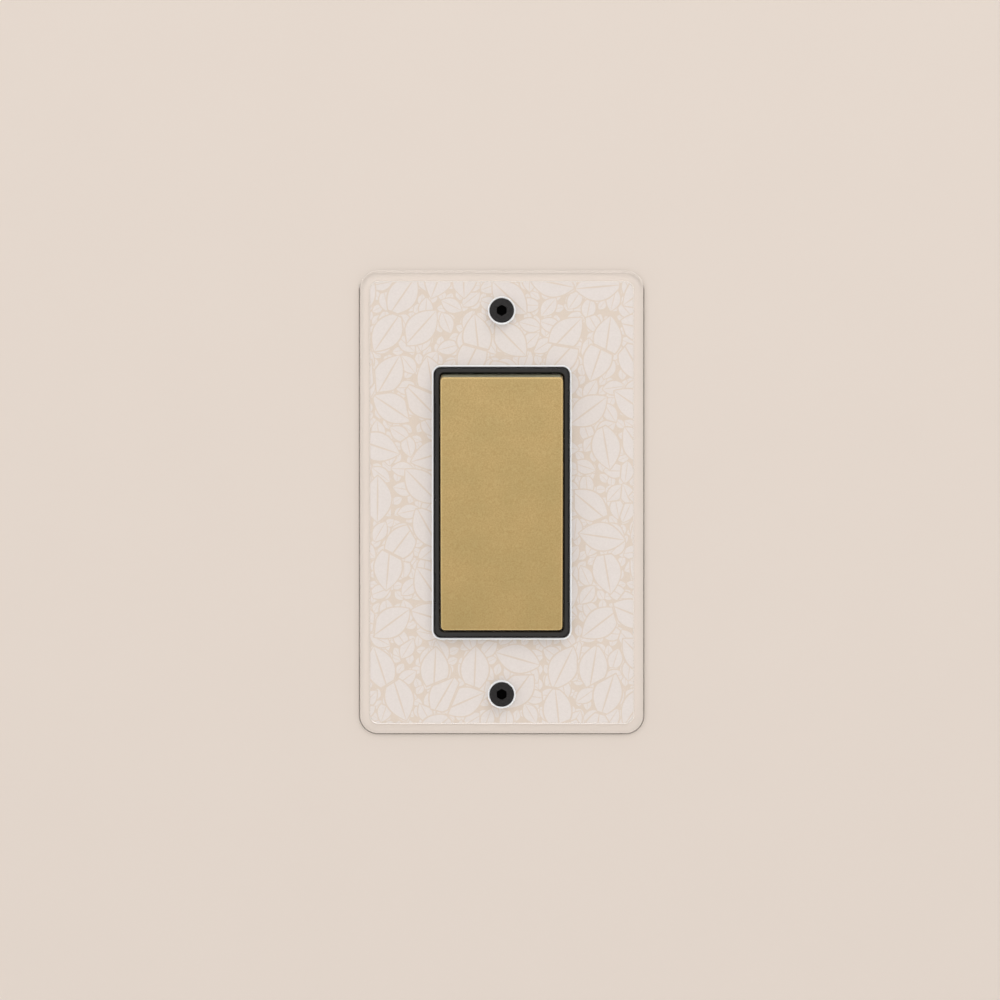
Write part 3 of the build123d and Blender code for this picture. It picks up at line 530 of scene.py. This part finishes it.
def thread_surface(name, begin, end, material):
    """A threaded shank along +Y, from begin to end: the radius falls by a rounded wave of the height
    less the angle's share of the pitch, and the wave fades in and out at the ends. Both ends close in
    a point on the axis."""
    count = int((end - begin) / THREAD_PITCH * THREAD_STEPS)
    y = np.linspace(begin, end, count)[:, None]
    angle = np.linspace(0, 2 * np.pi, THREAD_SIDES, endpoint=False)[None]
    phase = 2 * np.pi * y / THREAD_PITCH - angle
    groove = (0.5 + 0.5 * np.cos(phase)) ** 1.3
    fade_in = np.clip((y - begin) / THREAD_PITCH, 0, 1)
    fade_out = np.clip((end - y) / THREAD_PITCH, 0, 1)
    r = THREAD_RADIUS - THREAD_DEPTH * groove * fade_in - THREAD_TAPER * (1 - fade_out)
    ring = np.stack([r * np.cos(angle), y + 0 * angle, r * np.sin(angle)], -1)
    first, last = ring[:1].copy(), ring[-1:].copy()
    first[..., [0, 2]] = 0
    last[..., [0, 2]] = 0
    points = np.concatenate([first, ring, last])
    return mesh_object(name, points, tube_faces(count + 2, THREAD_SIDES), material)


def threaded_screw(node, cut, end, centre, material, turn=Matrix.Identity(3)):
    """Replaces a screw by its own head, cut off square at the start of its thread, and a threaded
    shank. turn is the rotation that brings +Y to the way that the screw points."""
    work = merged_copy(node)
    back = turn.inverted()
    for vertex in work.verts:
        vertex.co = back @ (vertex.co - centre)
    sliced = bmesh.ops.bisect_plane(
        work,
        geom=work.verts[:] + work.edges[:] + work.faces[:],
        plane_co=(0, cut, 0),
        plane_no=(0, 1, 0),
        clear_outer=True,
    )
    rim = [e for e in sliced["geom_cut"] if isinstance(e, bmesh.types.BMEdge)]
    bmesh.ops.contextual_create(work, geom=rim)
    shank = thread_surface(node + "_thread", cut, end, material)
    work.from_mesh(shank.data)
    bpy.data.objects.remove(shank)
    for vertex in work.verts:
        vertex.co = turn @ vertex.co + centre
    stand_in(work, node + "_threaded", material, node)


# Put the finishes on

ALONG_STRIP = (1, 1, 12)
ALONG_BAR = (1, 1, 8)
ZINC_TONES = ("#b9bdbf", "#d0d2d0", 0.32, 0.3, ALONG_STRIP)

ACRYLIC = clear_acrylic()
BRASS = satin_brass()
PAPER = printed_paper()
BLACK = moulding("black_spark_eroded_abs", "#07080a", "#0d0e11", 0.3, 0.18)
GREY = moulding("grey_moulded_urea", "#3c3d3f", "#47484a", 0.55, 0.25)
BLACK_STEEL = {
    level: metal("black_oxide_steel_" + level, "#2e2e2f", "#3a3a3b", 0.45, 0.5, socket=side)
    for level, side in (("upper", 1), ("lower", -1))
}
ZINC = metal("bright_zinc_plated_steel", *ZINC_TONES)
GAP_SHADED_ZINC = metal("zinc_plated_steel_painted_gap_shade", *ZINC_TONES, band=True)
WIRE = metal("oiled_spring_steel_wire", "#8d8d8c", "#a5a5a3", 0.3, 0.2)
GREEN = metal("green_dyed_zinc_steel", "#1f6b35", "#2d8446", 0.35, 0.4)
PLAIN_BRASS = metal("bright_rolled_brass", "#d0ab62", "#dcb970", 0.28, 0.3, ALONG_BAR)
SILVER = metal("satin_silver_alloy", "#cfcdc8", "#dddbd6", 0.35, 0.2)
RUBBER = soft_rubber()

dress(ACRYLIC, "clear_plate")
dress(BRASS, "rocker_cap")
dress(BLACK, "frame", "rocker_carrier")
dress(GREY, "housing", "rear_cover", "plunger")
dress(GAP_SHADED_ZINC, "strap")
dress(ZINC, "pivot_pin")
dress(WIRE, "contact_spring", "retaining_clip")
dress(PLAIN_BRASS, "contact_bridge")
dress(RUBBER, "rest_stop_pad", "press_stop_pad")
for hand in ("left", "right"):
    dress(SILVER, "moving_contact_" + hand, "fixed_contact_" + hand)
    dress(PLAIN_BRASS, "terminal_" + hand, "clamp_plate_" + hand, "terminal_screw_" + hand)
    dress(ZINC, "cover_screw_upper_" + hand, "cover_screw_lower_" + hand)

printed_sheet()
for spring in SPRINGS:
    pressed_spring(*spring)

for level in ("upper", "lower"):
    for screw, cut, steel, slot in (
        ("plate_screw_" + level, PLATE_SCREW_CUT, BLACK_STEEL[level], "black_steel"),
        ("box_screw_" + level, BOX_SCREW_CUT, ZINC, "zinc_steel"),
    ):
        low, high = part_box(screw)
        middle = Vector(((low.x + high.x) / 2, 0, (low.z + high.z) / 2))
        threaded_screw(screw, cut, high.y, middle, steel)

# The ground screw points to the right, through the strap's tab
low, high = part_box("ground_screw")
middle = Vector((0, (low.y + high.y) / 2, (low.z + high.z) / 2))
to_right = Matrix.Rotation(-np.pi / 2, 3, "Z")
cut = low.x + GROUND_HEAD
threaded_screw("ground_screw", cut, high.x, middle, GREEN, to_right)

# Wall, light and camera

WALL_HALF = 1.6
WALL_GAP = 0.06 * MM
corners = WALL_HALF * np.array([[-1, 0, -1], [1, 0, -1], [1, 0, 1], [-1, 0, 1]])
corners[:, 1] = WALL_GAP
wall = mesh_object("wall", corners, np.array([[0, 1, 2, 3]]), wall_paint())

LAMP_SIZE = 0.9
LAMPS = (("key", (0.3, -1.1, 0.9), 4.5), ("fill", (-1.3, -1.2, 0.1), 2))
for name, place, power in LAMPS:
    lamp = bpy.data.lights.new(name, "AREA")
    lamp.shape = "SQUARE"
    lamp.size = LAMP_SIZE
    lamp.energy = power
    softbox = bpy.data.objects.new(name, lamp)
    bpy.context.scene.collection.objects.link(softbox)
    softbox.visible_camera = False
    softbox.visible_transmission = False
    softbox.location = place
    softbox.rotation_euler = (-Vector(place)).to_track_quat("-Z", "Y").to_euler()

# The room is brightest straight in front and behind, so matt faces get an even light with hardly any
# shadow. Metal mirrors the same pale room with darker walls at its sides, and what is seen through
# the clear plastic is a room with paler ones.
world = bpy.data.worlds.new("studio")
bpy.context.scene.world = world
world.use_nodes = True
sky = world.node_tree
sky.nodes.clear()
seen = put(sky, "Background", {"Color": linear("#ece4dc"), "Strength": 1.0})
camera_ray, glossy_ray, through_ray = (
    put(sky, "LightPath", out=name)
    for name in ("Is Camera Ray", "Is Glossy Ray", "Is Transmission Ray")
)
towards = put(sky, "SeparateXYZ", {0: put(sky, "TexCoord", out="Generated")}, out="Y")
frontal = put(sky, "Math", {0: towards}, operation="ABSOLUTE")
lobe = put(sky, "Math", {0: frontal, 1: 14.0}, operation="POWER")
strength = put(sky, "Math", {0: lobe, 1: 4.7, 2: 0.22}, operation="MULTIPLY_ADD")
soft = put(sky, "Background", {"Color": linear("#ffffff"), "Strength": strength})
side_walls = put(sky, "Math", {0: through_ray, 1: 0.5, 2: 0.3}, operation="MULTIPLY_ADD")
from_side = {0: frontal, 1: 0.12, 2: 0.6, 3: side_walls, 4: 0.96}
pale = put(sky, "MapRange", from_side, interpolation_type="SMOOTHSTEP")
mirrored = put(sky, "Background", {"Color": linear("#f4ede6"), "Strength": pale})
rays = put(sky, "Math", {0: glossy_ray, 1: through_ray}, operation="MAXIMUM")
room = put(sky, "MixShader", {0: rays, 1: soft, 2: mirrored})
both = put(sky, "MixShader", {0: camera_ray, 1: room, 2: seen})
join(sky, sky.nodes.new("ShaderNodeOutputWorld"), {"Surface": both})

CAMERA_DISTANCE = 0.795
SCALE = 0.2521 * MM  # of a pixel at the plate's front
PICTURE_SIDE = 1000
FILM_WIDTH = 36
camera = bpy.data.cameras.new("camera")
camera.sensor_width = FILM_WIDTH
camera.lens = FILM_WIDTH * CAMERA_DISTANCE / (PICTURE_SIDE * SCALE)
camera.clip_start = 0.01
eye = bpy.data.objects.new("camera", camera)
bpy.context.scene.collection.objects.link(eye)
eye.location = (-1.7 * SCALE, plate_front - CAMERA_DISTANCE, 2.4 * SCALE)
eye.rotation_euler = (np.pi / 2, 0, 0)
bpy.context.scene.camera = eye
bpy.context.scene.view_settings.view_transform = "Standard"
